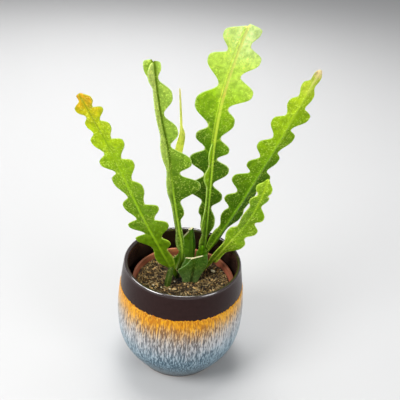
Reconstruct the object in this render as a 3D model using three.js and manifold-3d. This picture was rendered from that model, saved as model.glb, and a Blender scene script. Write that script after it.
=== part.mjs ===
// A fishbone cactus: six long stems and shoots grown among the cut and short stems that they began from,
// in soil, in a plastic nursery pot that stands inside a glazed ceramic pot.
// Millimetres, +Z up. The origin is the middle of the ceramic pot's flat base, and the stems' broad
// sides face -Y.
import * as THREE from "three";
import { mergeVertices } from "three/addons/utils/BufferGeometryUtils.js";
import Module from "manifold-3d";

// ---------------------------------------------------------------- driving dimensions

const GAP = 0.3; // clearance that touching pieces keep

// Ceramic pot: a belly between a narrow foot and a slightly narrower mouth. `outside` is its wall as
// [radius, height] from the foot to the lip.
const POT = {
  height: 140,
  wall: 6,
  floor: 7.5,
  edge: 1.5, // the foot's and the lip's rounding
  outside: [[50, 1.5], [65.8, 25], [73, 43], [75.5, 70], [73.6, 101], [69, 136]],
};
const BAND = { depth: 29, step: 0.6 }; // the bare lip stands back by the glaze's thickness
const POT_SIDES = 44;
const WALL_STEPS = 8;

// Nursery pot: a standard 12 cm plastic pot, standing on the ceramic floor.
const NURSERY = { rim: 60, base: 43, height: 106, wall: 1.4, collar: 9, collarProud: 1.6, edge: 0.8 };
const NURSERY_X = 1.7; // it stands slightly off centre
const NURSERY_SIDES = 40;
const DRAIN = { count: 6, radius: 3.5, circle: 27, sides: 12 };

// Soil: it fills the nursery pot to a little below its rim.
const SOIL = { top: 103, bump: 1.5, rings: 7, sides: 32 };
const HOLE = { length: 34, clearance: 0.6 }; // a length along a rib that ends clear of the soil

// A stem's flesh: half thickness of a wing at its root, its middle and its margin.
const FLESH = { root: 1.5, middle: 1.05, margin: 0.6 };
const MIDDLE = 0.55; // where a wing's middle lies between its root and its margin
const ROOT = { ofRadius: 0.8, ofWidth: 0.6 }; // a wing's root lies at the smaller of these shares
const LOW = 0.2; // the share of a rib over which it swells from the root
const WAVE_TURN = 2.4; // how far, in radians, one lobe's wave is out of step with the next
const LOBE_FULLNESS = 3; // more makes a lobe fuller, with narrower notches
const LEAN = 0.32; // a tip leans off the middle of its lobe by no more than this share of it
const ROW = { shortest: 2.8, longest: 7.5 }; // steps along a rib

// ---------------------------------------------------------------- the plant

// A stem's rib is a curve through hand-placed points, from its root in the soil to its tip. `across` is
// the bearing of its width from +X, in degrees. `radius` is the rib's radius at the root, above it and
// at the tip. A wing's `turn` is its angle about the rib, from that width towards the front. A lobe is
// [start, width at its start, tip, reach]: the first and third are lengths along the rib, the others
// are distances from it. A wing's last entry is where it ends and its width there.
const STEMS = {
  stem_left: {
    color: 0x6ea014,
    rib: [
      [-5, 14, 90], [-7, 13, 104], [-21, 11, 135], [-45, 8, 186],
      [-62, 6, 226], [-80, 4, 271], [-98, 2, 308], [-112, 0, 336],
    ],
    across: -15,
    radius: [2.8, 2.8, 1.6],
    wave: 2.2,
    wings: [
      {
        turn: 8,
        lobes: [
          [26, 4, 44, 8], [58, 8, 70, 18], [77, 10, 99, 29.5], [104, 13, 121, 24.5], [127, 10, 152, 20],
          [160, 8, 182, 19.5], [188, 7, 208, 20], [213, 7.5, 230, 17.5], [236, 6.5, 248, 16],
          [252, 7, 262, 13], [269, 3],
        ],
      },
      {
        turn: 172,
        lobes: [
          [28, 4, 48, 12], [64, 10, 80, 24.5], [86, 9, 102, 23], [108, 9.5, 129, 16.5],
          [139, 7, 161, 16.5], [172, 7.5, 188, 19], [198, 10, 214, 17.5], [224, 9.5, 234, 13],
          [243, 7, 254, 13], [262, 5, 266, 6], [269, 3],
        ],
      },
    ],
  },
  stem_mid_left: {
    color: 0x7fb32a,
    rib: [
      [-9, 31, 90], [-7, 31, 104], [-3.5, 31, 117], [-3, 31, 130], [-10, 29, 172],
      [-17, 27, 216], [-24, 25, 267], [-33, 23, 308], [-39, 21, 347], [-41, 20, 366],
    ],
    across: 0,
    radius: [2.8, 2.8, 1.5],
    wave: 2.5,
    wings: [
      {
        turn: -5,
        lobes: [
          [2, 4, 20, 6.5], [40, 3.5, 60, 5], [84, 5, 98, 10.5], [111, 8, 128, 33], [149, 11, 162, 25],
          [184, 4.5, 200, 15.5], [222, 4.5, 241, 16], [263, 3.5, 272, 7], [279.5, 3],
        ],
      },
      {
        turn: 110,
        lobes: [
          [2, 4, 20, 5.5], [38, 3.5, 55, 6.5], [75, 5, 95, 9], [113, 7, 137, 11], [157, 8, 182, 12.5],
          [203, 8, 229, 13], [252, 8, 266, 14], [284, 5],
        ],
      },
      { turn: 178, lobes: [[3, 3, 21, 10.5], [38, 2.8], [236, 1.5], [256, 4.5, 275, 10], [284, 4]] },
    ],
  },
  shoot_back: {
    color: 0xd2e56c,
    rib: [
      [-2, 42, 90], [-2, 42, 104], [-5, 42, 140], [-11, 42.5, 187], [-12.5, 43.5, 228],
      [-11.5, 44, 258], [-10, 44, 276], [-11, 44, 296], [-14, 45, 331],
    ],
    across: 15,
    radius: [1.5, 1.4, 0.8],
    wave: 0,
    wings: [
      { turn: 0, lobes: [[60, 1.5, 80, 3], [100, 1.5, 125, 3], [145, 2, 180, 4.8], [200, 1.4], [243, 0.8]] },
      { turn: 180, lobes: [[60, 1.5, 80, 3], [100, 1.5, 125, 3], [140, 2, 162, 5], [201, 1.4], [243, 0.8]] },
    ],
  },
  stem_centre: {
    color: 0x78b41e,
    rib: [
      [23, 43, 90], [24, 45, 104], [25, 42, 160], [25.5, 39, 228],
      [26, 36, 274], [31, 32, 328], [42, 27, 381], [49, 25, 406],
    ],
    across: 0,
    radius: [3, 3.5, 1.8],
    wave: 2.4,
    wings: [
      {
        turn: 5,
        lobes: [
          [54, 4, 79, 10.5], [98, 4.5, 113, 16], [130, 4, 150, 20.5], [164, 6, 178, 18.5],
          [191, 7, 211, 19], [228, 9, 251, 30], [267, 12, 289, 26], [301, 11, 317, 16], [326, 3],
        ],
      },
      {
        turn: 118,
        lobes: [
          [26, 4, 48, 9.5], [62, 8, 77, 13], [98, 7, 112, 8], [127, 7, 143, 11.5], [157, 6, 173, 12.5],
          [187, 3],
        ],
      },
      {
        turn: 175,
        lobes: [
          [60, 4, 72, 6.5], [84, 7, 94, 10.5], [106, 7.5, 125, 24], [143, 7.5, 163, 24.5],
          [176.5, 9, 194, 21], [204, 9, 230, 27], [253, 8, 279, 26.5], [290, 10, 307, 20], [320, 2],
        ],
      },
    ],
  },
  stem_right: {
    color: 0x5f9a14,
    rib: [
      [17, 38, 90], [19, 38, 104], [37, 35, 145], [60, 30, 198],
      [77, 25, 243], [94, 20, 288], [110, 15, 334], [124, 10, 372],
    ],
    across: 0,
    radius: [2.8, 2.8, 1.3],
    wave: 2,
    wings: [
      {
        turn: -28,
        lobes: [
          [40, 3.5, 64, 7], [80, 6, 103, 13], [114, 12, 132, 17], [143, 13, 160, 20.5],
          [172, 10, 188, 16.5], [199, 9, 217, 21.5], [230, 8, 247, 22], [258, 10, 269, 14],
          [284, 6, 292, 7.5], [303, 2.5],
        ],
      },
      {
        turn: 175,
        lobes: [
          [36, 3.5, 66, 7], [82, 6, 102, 13], [111, 9.5, 124, 20.5], [136, 11, 152, 24],
          [166, 10, 177, 19], [188, 9, 202, 18.5], [216, 8, 235, 18.5], [246, 7.5, 261, 13],
          [270, 6, 282, 8.5], [291, 4, 297, 5], [303, 2.5],
        ],
      },
    ],
  },
  stem_right_low: {
    color: 0x96c81e,
    rib: [
      [22, 27, 90], [24, 26, 104], [33, 22, 121], [52, 17, 155],
      [72, 10, 194], [82, 4, 229], [86, 0, 252],
    ],
    across: 0,
    radius: [2.5, 2.5, 1.4],
    wave: 3.2,
    wings: [
      {
        turn: 5,
        lobes: [
          [36, 3, 44, 5], [58, 6, 78, 18.5], [91, 12, 103, 19], [115, 9, 126, 14], [140, 5, 150, 10],
          [155, 7, 164, 8.5], [176.5, 2.5],
        ],
      },
      {
        turn: 160,
        lobes: [
          [30, 3, 58, 9], [72, 6.5, 92, 12], [104, 8.5, 124, 13], [137, 9, 148, 13], [155, 6, 166, 10],
          [176.5, 2.5],
        ],
      },
    ],
  },
  cutting_front: {
    color: 0x2f5a14,
    rib: [[9, 4, 90], [9.8, 5, 104], [13, 7, 129], [12, 7, 137]],
    across: 0,
    radius: [3, 2.8, 1.3],
    wave: 0,
    wings: [
      { turn: -18, lobes: [[-1, 8], [14, 10], [24, 12.5], [37, 17.5], [60, 17.5]] },
      { turn: 148, lobes: [[-1, 5], [14, 7.5], [31, 20.5], [35, 20.5], [47, 3.5], [60, 3]] },
      { turn: 188, lobes: [[-1, 7], [12, 9], [28, 14], [34, 13.5], [49, 9]] },
    ],
  },
  cutting_back: {
    color: 0x2d6418,
    rib: [[9.5, 35, 90], [9.5, 36, 104], [6.5, 38, 157]],
    across: 0,
    radius: [2.8, 2.6, 2],
    wave: 0,
    wings: [
      { turn: -50, lobes: [[-1, 4], [12, 5, 40, 9], [67, 6]] },
      { turn: 180, lobes: [[-1, 5], [20, 7, 46, 10.5], [67, 1.5]] },
    ],
  },
  cutting_side: {
    color: 0x3c7a14,
    rib: [[21, 32, 90], [21.5, 32, 104], [23, 32.5, 138]],
    across: 0,
    radius: [2.4, 2.2, 1.6],
    wave: 0,
    wings: [
      { turn: 0, lobes: [[12, 3, 34, 7.5], [48.5, 1.6]] },
      { turn: 180, lobes: [[12, 3, 33, 7], [48.5, 1.6]] },
    ],
  },
  stub_left: {
    color: 0x40701a,
    rib: [[-17.5, -6, 90], [-16.5, -5, 104], [-13, 3, 125]],
    across: -20,
    radius: [2.2, 2.6, 2],
    wave: 0,
    wings: [
      { turn: 0, lobes: [[8, 2.6, 24, 3.8], [38, 3]] },
      { turn: 180, lobes: [[6, 2.6, 22, 4.2], [38, 3]] },
    ],
  },
};

// ---------------------------------------------------------------- a stem's solid

const lerp = THREE.MathUtils.lerp;
const clamp = THREE.MathUtils.clamp;
const radians = THREE.MathUtils.degToRad;

// The rib's curve, with the frame that its width and front give at a length along it.
function ribOf({ rib, across }) {
  const curve = new THREE.CatmullRomCurve3(rib.map((p) => new THREE.Vector3(...p)), false, "centripetal");
  curve.arcLengthDivisions = 400;
  const length = curve.getLength();
  const width = new THREE.Vector3(Math.cos(radians(across)), Math.sin(radians(across)), 0);
  const frameAt = (s) => {
    const u = clamp(s / length, 0, 1);
    const along = curve.getTangentAt(u);
    const x = width.clone().addScaledVector(along, -width.dot(along)).normalize();
    const origin = curve.getPointAt(u).addScaledVector(along, s - u * length);
    return { origin, x, y: new THREE.Vector3().crossVectors(x, along) };
  };
  return { length, frameAt };
}

// The rib's radius at a length along it: it swells a little from the root, then tapers to the tip.
function ribRadius([root, low, tip], s, length) {
  const swelling = LOW * length;
  return s < swelling ? lerp(root, low, s / swelling) : lerp(low, tip, (s - swelling) / (length - swelling));
}

// Where a wing's margin is, for a point at length s on the rib: its own length along the rib, how far
// out it is, how much of its lobe's swell it has and which lobe it is in.
function margin({ lobes }, s) {
  const next = lobes.findIndex(([start]) => start > s);
  if (next === 0) return { along: s, out: 0, swell: 0, lobe: 0 };
  if (next < 0) return { along: s, out: lobes.at(-1)[1], swell: 0, lobe: lobes.length };
  const [start, width, tip, reach] = lobes[next - 1];
  const [end, endWidth] = lobes[next];
  const u = (s - start) / (end - start);
  if (tip === undefined) return { along: s, out: lerp(width, endWidth, u), swell: 0, lobe: next };
  const lean = clamp(tip - (start + end) / 2, -LEAN * (end - start), LEAN * (end - start));
  const fullness = 1 - Math.abs(Math.cos(Math.PI * u)) ** LOBE_FULLNESS;
  return {
    along: s + lean * Math.sin(Math.PI * u),
    out: lerp(lerp(width, endWidth, u), reach, fullness),
    swell: fullness,
    lobe: next,
  };
}

// The lengths along the rib at which the solid has a section: at every notch and tip, and between.
function rowsOf(wings, length) {
  const keys = new Set([length]);
  for (const { lobes } of wings)
    lobes.forEach(([start], i) => {
      keys.add(start);
      if (i + 1 < lobes.length) keys.add((start + lobes[i + 1][0]) / 2);
    });
  const sorted = [...keys].filter((s) => s === length || length - s > ROW.shortest).sort((a, b) => a - b);
  const rows = [0];
  for (const s of sorted) {
    const last = rows.at(-1);
    if (s - last < ROW.shortest) continue;
    const steps = Math.ceil((s - last) / ROW.longest);
    for (let j = 1; j <= steps; j++) rows.push(lerp(last, s, j / steps));
  }
  return rows;
}

// The angle from a wing to the next one round the rib, and how thick each may be for its distance from
// the rib's axis before the two would meet.
function gapAfter(wings, w) {
  const turn = wings[(w + 1) % wings.length].turn - wings[w].turn;
  return turn > 0 ? turn : turn + 360;
}
const roomIn = (gap) => Math.tan(radians(Math.min(80, gap / 2 - 4)));

// A closed solid of a ribbed stem whose section is a ring round the rib: out and back along each wing,
// and over the rib between two wings. `grow` makes it larger all round, `to` cuts it short, and `only`
// names the wings that it has.
function stemGeometry(spec, { grow = 0, to = Infinity, only = spec.wings } = {}) {
  const { length, frameAt } = ribOf(spec);
  const wings = [...only].sort((a, b) => a.turn - b.turn);
  const rows = rowsOf(spec.wings, length).filter((s) => s <= to);
  const positions = [];
  const outward = []; // for each side of the ring, whether it runs away from the rib

  rows.forEach((s, row) => {
    const radius = ribRadius(spec.radius, s, length) + grow;
    const below = row === 0 ? grow : 0;
    wings.forEach((wing, w) => {
      const m = margin(wing, s);
      const out = Math.max(m.out + grow, radius);
      const root = Math.min(ROOT.ofRadius * radius, ROOT.ofWidth * out);
      const cup = spec.wave * Math.sin(WAVE_TURN * m.lobe + wing.turn) * m.swell;
      const columns = [
        [root, 0, FLESH.root],
        [lerp(root, out, MIDDLE), MIDDLE * MIDDLE, FLESH.middle],
        [out, 1, FLESH.margin],
      ];
      const [gap, gapBefore] = [gapAfter(wings, w), gapAfter(wings, (w + wings.length - 1) % wings.length)];
      const point = ([distance, share, half], side) => {
        const { origin, x, y } = frameAt(lerp(s, m.along, share) - below);
        const turn = radians(wing.turn);
        const thickest = Math.min(ROOT.ofRadius * radius, distance * roomIn(side > 0 ? gap : gapBefore));
        const lift = side * Math.min(half + grow, thickest) + cup * share;
        origin.addScaledVector(x, distance * Math.cos(turn) - lift * Math.sin(turn));
        origin.addScaledVector(y, distance * Math.sin(turn) + lift * Math.cos(turn));
        positions.push(origin.x, origin.y, origin.z);
      };
      columns.forEach((column) => point(column, -1));
      [...columns].reverse().forEach((column) => point(column, 1));
      const crest = radians(wing.turn + gap / 2);
      const { origin, x, y } = frameAt(s - below);
      origin.addScaledVector(x, radius * Math.cos(crest)).addScaledVector(y, radius * Math.sin(crest));
      positions.push(origin.x, origin.y, origin.z);
      if (row === 0) outward.push(true, true, true, false, false, false, true);
    });
  });

  const ring = outward.length;
  const index = [];
  for (let row = 0; row + 1 < rows.length; row++)
    for (let i = 0; i < ring; i++) {
      const a = row * ring + i;
      const b = row * ring + ((i + 1) % ring);
      const [c, d] = [a + ring, b + ring];
      // The two faces of a wing are split alike, so a waved blade stays whole.
      if (outward[i]) index.push(a, c, b, b, c, d);
      else index.push(a, d, b, a, c, d);
    }
  for (const [row, flip] of [[0, false], [rows.length - 1, true]]) {
    const { origin } = frameAt(row === 0 ? -grow : rows[row]);
    const centre = positions.length / 3;
    positions.push(origin.x, origin.y, origin.z);
    for (let i = 0; i < ring; i++) {
      const [a, b] = [row * ring + i, row * ring + ((i + 1) % ring)];
      index.push(centre, flip ? b : a, flip ? a : b);
    }
  }
  const geometry = new THREE.BufferGeometry();
  geometry.setAttribute("position", new THREE.Float32BufferAttribute(positions, 3));
  geometry.setIndex(index);
  return geometry;
}

// ---------------------------------------------------------------- joining and cutting

const wasm = await Module();
wasm.setup();

function solidOf(geometry) {
  const bare = geometry.index ? geometry.toNonIndexed() : geometry.clone();
  bare.deleteAttribute("normal");
  bare.deleteAttribute("uv");
  const merged = mergeVertices(bare, 1e-3);
  return new wasm.Manifold(
    new wasm.Mesh({
      numProp: 3,
      vertProperties: new Float32Array(merged.attributes.position.array),
      triVerts: new Uint32Array(merged.index.array),
    }),
  );
}

function geometryOf(solid) {
  const { vertProperties, triVerts } = solid.getMesh();
  const geometry = new THREE.BufferGeometry();
  geometry.setAttribute("position", new THREE.Float32BufferAttribute(vertProperties, 3));
  geometry.setIndex(new THREE.Uint32BufferAttribute(triVerts, 1));
  return geometry;
}

// ---------------------------------------------------------------- pots and soil

// A body of revolution about Z, from [radius, height] points that run from the axis back to it.
function turned(profile, sides) {
  const points = profile.map(([r, z]) => new THREE.Vector2(r, z));
  return new THREE.LatheGeometry(points, sides).rotateX(Math.PI / 2);
}

function ceramicPot() {
  const { height, wall, floor, edge, outside } = POT;
  const foot = outside[0][0];
  const lip = outside.at(-1)[0];
  const glazeLine = height - BAND.depth;
  const curve = new THREE.SplineCurve(outside.map(([r, z]) => new THREE.Vector2(r, z)));
  const points = curve.getPoints(WALL_STEPS).map(({ x, y }) => [x, y]);
  const glazed = points.filter(([, z]) => z < glazeLine);
  const bare = points.filter(([, z]) => z > glazeLine);
  const lineRadius = lerp(glazed.at(-1)[0], bare[0][0], 0.5);
  const inside = glazed.filter(([r, z]) => z > floor + wall && r > foot).map(([r, z]) => [r - wall, z]);
  return turned(
    [
      [0, 0], [foot - edge, 0],
      ...glazed,
      [lineRadius, glazeLine],
      ...bare.map(([r, z]) => [r - BAND.step, z]),
      [lip - wall / 2, height],
      [lip - wall, height - edge],
      [lineRadius - wall, glazeLine],
      ...inside.reverse(),
      [foot - edge, floor], [0, floor],
    ],
    POT_SIDES,
  );
}

function nurseryPot() {
  const { rim, base, height, wall, collar, collarProud, edge } = NURSERY;
  const bottom = POT.floor + GAP;
  const top = bottom + height;
  const shoulder = rim - collarProud; // the wall's outer radius just under the collar
  const shell = solidOf(
    turned(
      [
        [0, bottom], [base, bottom],
        [shoulder - edge, top - collar], [rim - edge, top - collar + edge],
        [rim, top - edge], [rim - edge, top],
        [shoulder - wall, top], [shoulder - wall - edge, top - collar],
        [base - wall, bottom + wall], [0, bottom + wall],
      ],
      NURSERY_SIDES,
    ),
  );
  const holes = Array.from({ length: DRAIN.count }, (_, i) => {
    const angle = (2 * Math.PI * i) / DRAIN.count;
    const drill = new THREE.CylinderGeometry(DRAIN.radius, DRAIN.radius, 4 * wall, DRAIN.sides);
    drill.rotateX(Math.PI / 2);
    drill.translate(DRAIN.circle * Math.cos(angle), DRAIN.circle * Math.sin(angle), bottom + wall / 2);
    return solidOf(drill);
  });
  return geometryOf(holes.reduce((pot, hole) => pot.subtract(hole), shell)).translate(NURSERY_X, 0, 0);
}

// The soil's surface: low waves that die out towards the pot's wall.
function soilHeight(x, y, radius) {
  const r = Math.hypot(x, y) / radius;
  const waves =
    Math.sin(0.21 * x + 1) * Math.cos(0.17 * y) + 0.6 * Math.sin(0.43 * x - 0.37 * y) +
    0.4 * Math.cos(0.61 * y + 0.3 * x + 2);
  return SOIL.top + SOIL.bump * waves * clamp(4 * (1 - r), 0, 1);
}

// The hole that a stem stands in: its buried end made larger, cut whole and then for two wings at a time,
// since wings that stand close together keep each other thin.
function holesFor(spec) {
  const [first, ...others] = spec.wings;
  const sets = others.length > 1 ? [spec.wings, ...others.map((wing) => [first, wing])] : [spec.wings];
  return sets.map((only) => solidOf(stemGeometry(spec, { grow: HOLE.clearance, to: HOLE.length, only })));
}

function soil() {
  const { base, rim, wall, collarProud, collar, height, edge } = NURSERY;
  const bottom = POT.floor + GAP + wall + GAP;
  const potTop = POT.floor + GAP + height;
  const innerTop = rim - collarProud - wall - edge; // the pot's inner radius at the foot of its collar
  const innerBase = base - wall;
  const slope = (innerTop - innerBase) / (potTop - collar - bottom);
  const radius = Math.min(innerTop, innerBase + slope * (SOIL.top - bottom)) - 2 * GAP;
  const surface = Array.from({ length: SOIL.rings }, (_, i) => [radius * (1 - i / SOIL.rings), SOIL.top]);
  const lump = turned(
    [[0, bottom], [innerBase - 2 * GAP, bottom], ...surface, [0, SOIL.top]],
    SOIL.sides,
  );
  const position = lump.attributes.position;
  for (let i = 0; i < position.count; i++) {
    if (position.getZ(i) > bottom) position.setZ(i, soilHeight(position.getX(i), position.getY(i), radius));
  }
  lump.translate(NURSERY_X, 0, 0);
  const holes = Object.values(STEMS).flatMap(holesFor);
  return geometryOf(holes.reduce((earth, hole) => earth.subtract(hole), solidOf(lump)));
}

// ---------------------------------------------------------------- the object

const part = new THREE.Group();

function add(name, geometry, color, roughness) {
  const material = new THREE.MeshStandardMaterial({ color, roughness, metalness: 0 });
  const mesh = new THREE.Mesh(geometry, material);
  mesh.name = name;
  part.add(mesh);
}

add("ceramic_pot", ceramicPot(), 0x87a0ad, 0.3);
add("nursery_pot", nurseryPot(), 0xaf553c, 0.55);
add("soil", soil(), 0x3a3020, 0.95);
for (const [name, spec] of Object.entries(STEMS)) add(name, stemGeometry(spec), spec.color, 0.5);

export default part;
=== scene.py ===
"""A potted fishbone cactus: fine stems, glazed pot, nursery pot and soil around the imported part."""

import math
import random

import bpy
from mathutils import Matrix, Vector, noise


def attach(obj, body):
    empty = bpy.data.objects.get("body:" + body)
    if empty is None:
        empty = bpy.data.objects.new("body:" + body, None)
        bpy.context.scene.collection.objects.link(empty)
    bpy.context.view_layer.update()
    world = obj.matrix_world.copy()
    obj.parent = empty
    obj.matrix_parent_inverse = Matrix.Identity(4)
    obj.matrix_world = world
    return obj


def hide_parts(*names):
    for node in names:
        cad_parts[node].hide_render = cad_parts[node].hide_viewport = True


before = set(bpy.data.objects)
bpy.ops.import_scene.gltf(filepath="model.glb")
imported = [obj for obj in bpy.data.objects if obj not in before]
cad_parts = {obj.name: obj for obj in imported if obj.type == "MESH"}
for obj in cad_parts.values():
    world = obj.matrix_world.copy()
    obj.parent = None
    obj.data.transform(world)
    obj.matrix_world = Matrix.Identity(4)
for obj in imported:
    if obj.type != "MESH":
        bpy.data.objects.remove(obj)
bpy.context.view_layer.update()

MM = 0.001

# -------- driving dimensions, in millimetres

POT_HEIGHT = 140
POT_WALL = 6
POT_FLOOR = 7.5
POT_EDGE = 1.5
POT_LIP_RISE = 4
POT_SIDES = 480
POT_OUTSIDE = [(50, 1.5), (65.8, 25), (73, 43), (75.5, 70), (73.6, 101), (69, 136)]  # radius, height
GLAZE_LINE = POT_HEIGHT - 29.7
GLAZE_STEP = 0.6

NURSERY_RIM = 60
NURSERY_BASE = 43
NURSERY_HEIGHT = 106
NURSERY_WALL = 1.4
NURSERY_COLLAR = 9
NURSERY_COLLAR_PROUD = 1.6
NURSERY_X = 1.7
NURSERY_GAP = 0.3  # under the nursery pot, and under the soil in it
NURSERY_SIDES = 128
NURSERY_CREASE = 40  # its sharpest edge that is shaded smooth, in degrees

SOIL_TOP = 103
SOIL_RADIUS = 55.3
SOIL_RINGS = 76
SOIL_SIDES = 220

FLESH_ROOT = 1.5  # half a wing's thickness beside the rib
FLESH_MARGIN = 0.6  # and the same at its margin
LOBE_FULLNESS = 3.0  # 2 makes a lobe's outline a sine's, and more makes it squarer
LEAN = 0.32  # how far a lobe may lean towards a notch, in lobes
LOW = 0.2  # where a rib has its second radius, in lengths of the stem
WAVE_TURN = 2.4  # how the cup of a wing changes from lobe to lobe, in radians

# -------- the plant's stems

# A stem's rib is a curve through listed points, from its root to its tip. `across` is the bearing
# of its width from +X. `radius` is the rib's radius at the root, above it and at the tip. `wave` is how
# far its lobes cup. A wing is its turn about the rib, in degrees from that width towards the front, and
# its lobes. A lobe is (start, width at its start, tip, reach). One without a tip is straight, and the last
# entry is where the wing ends. `own` is the turn of the wing with colours of its own. `late` is how much
# farther up a wing turns pale, by its turn. `cut` is for a cut end: the turn of the wing whose margin is
# cut too, and from where.
# A wing's `own` colours are painted light where they are paler than the skin's, and painted shade where
# darker.
STEMS = {
    "stem_left": dict(
        rib=[(-5, 14, 90), (-7, 13, 104), (-21, 11, 135), (-45, 8, 186),
             (-62, 6, 226), (-80, 4, 271), (-98, 2, 308), (-112, 0, 336)],
        across=-15, radius=(2.8, 2.8, 1.6), wave=2.2,
        wings=[
            (8, [(26, 4, 44, 8), (58, 8, 70, 18), (77, 10, 99, 29.5), (104, 13, 121, 24.5),
                 (127, 10, 152, 20), (160, 8, 182, 19.5), (188, 7, 208, 20), (213, 7.5, 230, 17.5),
                 (236, 6.5, 248, 16), (252, 7, 262, 13), (269, 3)]),
            (172, [(28, 4, 48, 12), (64, 10, 80, 24.5), (86, 9, 102, 23), (108, 9.5, 129, 16.5),
                   (139, 7, 161, 16.5), (172, 7.5, 188, 19), (198, 10, 214, 17.5), (224, 9.5, 234, 13),
                   (243, 7, 254, 13), (262, 5, 266, 6), (269, 3)]),
        ]),
    "stem_mid_left": dict(
        rib=[(-9, 31, 90), (-7, 31, 104), (-3.5, 31, 117), (-3, 31, 130), (-10, 29, 172),
             (-17, 27, 216), (-24, 25, 267), (-33, 23, 308), (-39, 21, 347), (-41, 20, 366)],
        radius=(2.8, 2.8, 1.5), wave=2.5, own=110,
        wings=[
            (-5, [(2, 4, 20, 6.5), (40, 3.5, 60, 5), (84, 5, 98, 10.5), (111, 8, 128, 33),
                  (149, 11, 162, 25), (184, 4.5, 200, 15.5), (222, 4.5, 241, 16), (263, 3.5, 276, 7.5),
                  (284, 6)]),
            (110, [(2, 4, 20, 5.5), (38, 3.5, 55, 6.5), (75, 5, 95, 9), (113, 7, 137, 11),
                   (157, 8, 182, 12.5), (203, 8, 229, 13), (252, 7, 268, 10.5), (284, 4.5)]),
            (178, [(3, 3, 21, 10.5), (38, 2.8), (236, 1.5), (256, 4.5, 277, 10.5), (284, 8.5)]),
        ]),
    "shoot_back": dict(
        rib=[(-2, 42, 90), (-2, 42, 104), (-5, 42, 140), (-11, 42.5, 187), (-12.5, 43.5, 228),
             (-11.5, 44, 258), (-10, 44, 276), (-11, 44, 296), (-14, 45, 331)],
        across=15, radius=(1.5, 1.4, 0.8),
        wings=[
            (0, [(60, 1.5, 80, 3), (100, 1.5, 125, 3), (145, 2, 180, 4.8), (200, 1.4), (243, 0.8)]),
            (180, [(60, 1.5, 80, 3), (100, 1.5, 125, 3), (140, 2, 162, 5), (201, 1.4), (243, 0.8)]),
        ]),
    "stem_centre": dict(
        rib=[(23, 43, 90), (24, 45, 104), (25, 42, 160), (25.5, 39, 228),
             (26, 36, 274), (31, 32, 328), (42, 27, 381), (49, 25, 406)],
        # its wing at 175 turns pale farther up: painted shade on the shaded side
        radius=(3, 3.5, 1.8), wave=2.4, own=118, late={175: 0.045},
        wings=[
            (5, [(54, 4, 79, 10.5), (98, 4.5, 113, 16), (130, 4, 150, 20.5), (164, 6, 178, 18.5),
                 (191, 7, 211, 19), (228, 9, 251, 30), (267, 12, 289, 26), (301, 11, 317, 16),
                 (326, 3)]),
            (118, [(26, 4, 48, 9.5), (62, 8, 77, 13), (98, 7, 112, 8), (127, 7, 143, 11.5),
                   (157, 6, 173, 12.5), (187, 3)]),
            (175, [(60, 4, 72, 6.5), (84, 7, 94, 10.5), (106, 7.5, 125, 24), (143, 7.5, 163, 24.5),
                   (176.5, 9, 194, 21), (204, 9, 230, 27), (253, 8, 279, 26.5), (290, 10, 307, 20),
                   (320, 2)]),
        ]),
    "stem_right": dict(
        rib=[(17, 38, 90), (19, 38, 104), (37, 35, 145), (60, 30, 198),
             (77, 25, 243), (94, 20, 288), (110, 15, 334), (124, 10, 372)],
        radius=(2.8, 2.8, 1.3), wave=2, own=-28,
        wings=[
            (-28, [(40, 3.5, 64, 7), (80, 6, 103, 13), (114, 12, 132, 17), (143, 13, 160, 20.5),
                   (172, 10, 188, 16.5), (199, 9, 217, 21.5), (230, 8, 247, 22), (258, 10, 269, 14),
                   (284, 6, 292, 7.5), (303, 2.5)]),
            (175, [(36, 3.5, 66, 7), (82, 6, 102, 13), (111, 9.5, 124, 20.5), (136, 11, 152, 24),
                   (166, 10, 177, 19), (188, 9, 202, 18.5), (216, 8, 235, 18.5), (246, 7.5, 261, 13),
                   (270, 6, 282, 8.5), (291, 4, 297, 5), (303, 2.5)]),
        ]),
    "stem_right_low": dict(
        rib=[(22, 27, 90), (24, 26, 104), (33, 22, 121), (52, 17, 155),
             (72, 10, 194), (82, 4, 229), (86, 0, 252)],
        radius=(2.5, 2.5, 1.4), wave=3.2,
        wings=[
            (5, [(36, 3, 44, 5), (58, 6, 78, 18.5), (91, 12, 103, 19), (115, 9, 126, 14),
                 (140, 5, 150, 10), (155, 7, 164, 8.5), (176.5, 2.5)]),
            (160, [(30, 3, 58, 9), (72, 6.5, 92, 12), (104, 8.5, 124, 13), (137, 9, 148, 13),
                   (155, 6, 166, 10), (176.5, 2.5)]),
        ]),
    "cutting_front": dict(
        rib=[(9, 4, 90), (9.8, 5, 104), (13, 7, 129), (12, 7, 137)],
        radius=(3, 2.8, 1.3), cut=(None, 0),
        wings=[
            (-18, [(-1, 8), (14, 10), (24, 12.5), (37, 17.5), (60, 17.5)]),
            (148, [(-1, 5), (14, 7.5), (31, 20.5), (35, 20.5), (47, 3.5), (60, 3)]),
            (188, [(-1, 7), (12, 9), (28, 14), (34, 13.5), (49, 9)]),
        ]),
    "cutting_back": dict(
        rib=[(9.5, 35, 90), (9.5, 36, 104), (6.5, 38, 157)],
        radius=(2.8, 2.6, 2), own=-50, cut=(180, 44),
        wings=[
            (-50, [(-1, 4), (12, 5, 40, 9), (67, 6)]),
            (180, [(-1, 5), (20, 7, 46, 10.5), (67, 1.5)]),
        ]),
    "cutting_side": dict(
        rib=[(21, 32, 90), (21.5, 32, 104), (23, 32.5, 138)],
        radius=(2.4, 2.2, 1.6),
        wings=[
            (0, [(12, 3, 34, 7.5), (48.5, 1.6)]),
            (180, [(12, 3, 33, 7), (48.5, 1.6)]),
        ]),
    "stub_left": dict(
        rib=[(-17.5, -6, 90), (-16.5, -5, 104), (-13, 3, 125)],
        across=-20, radius=(2.2, 2.6, 2),
        wings=[
            (0, [(8, 2.6, 24, 3.8), (38, 3)]),
            (180, [(6, 2.6, 22, 4.2), (38, 3)]),
        ]),
}

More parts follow.
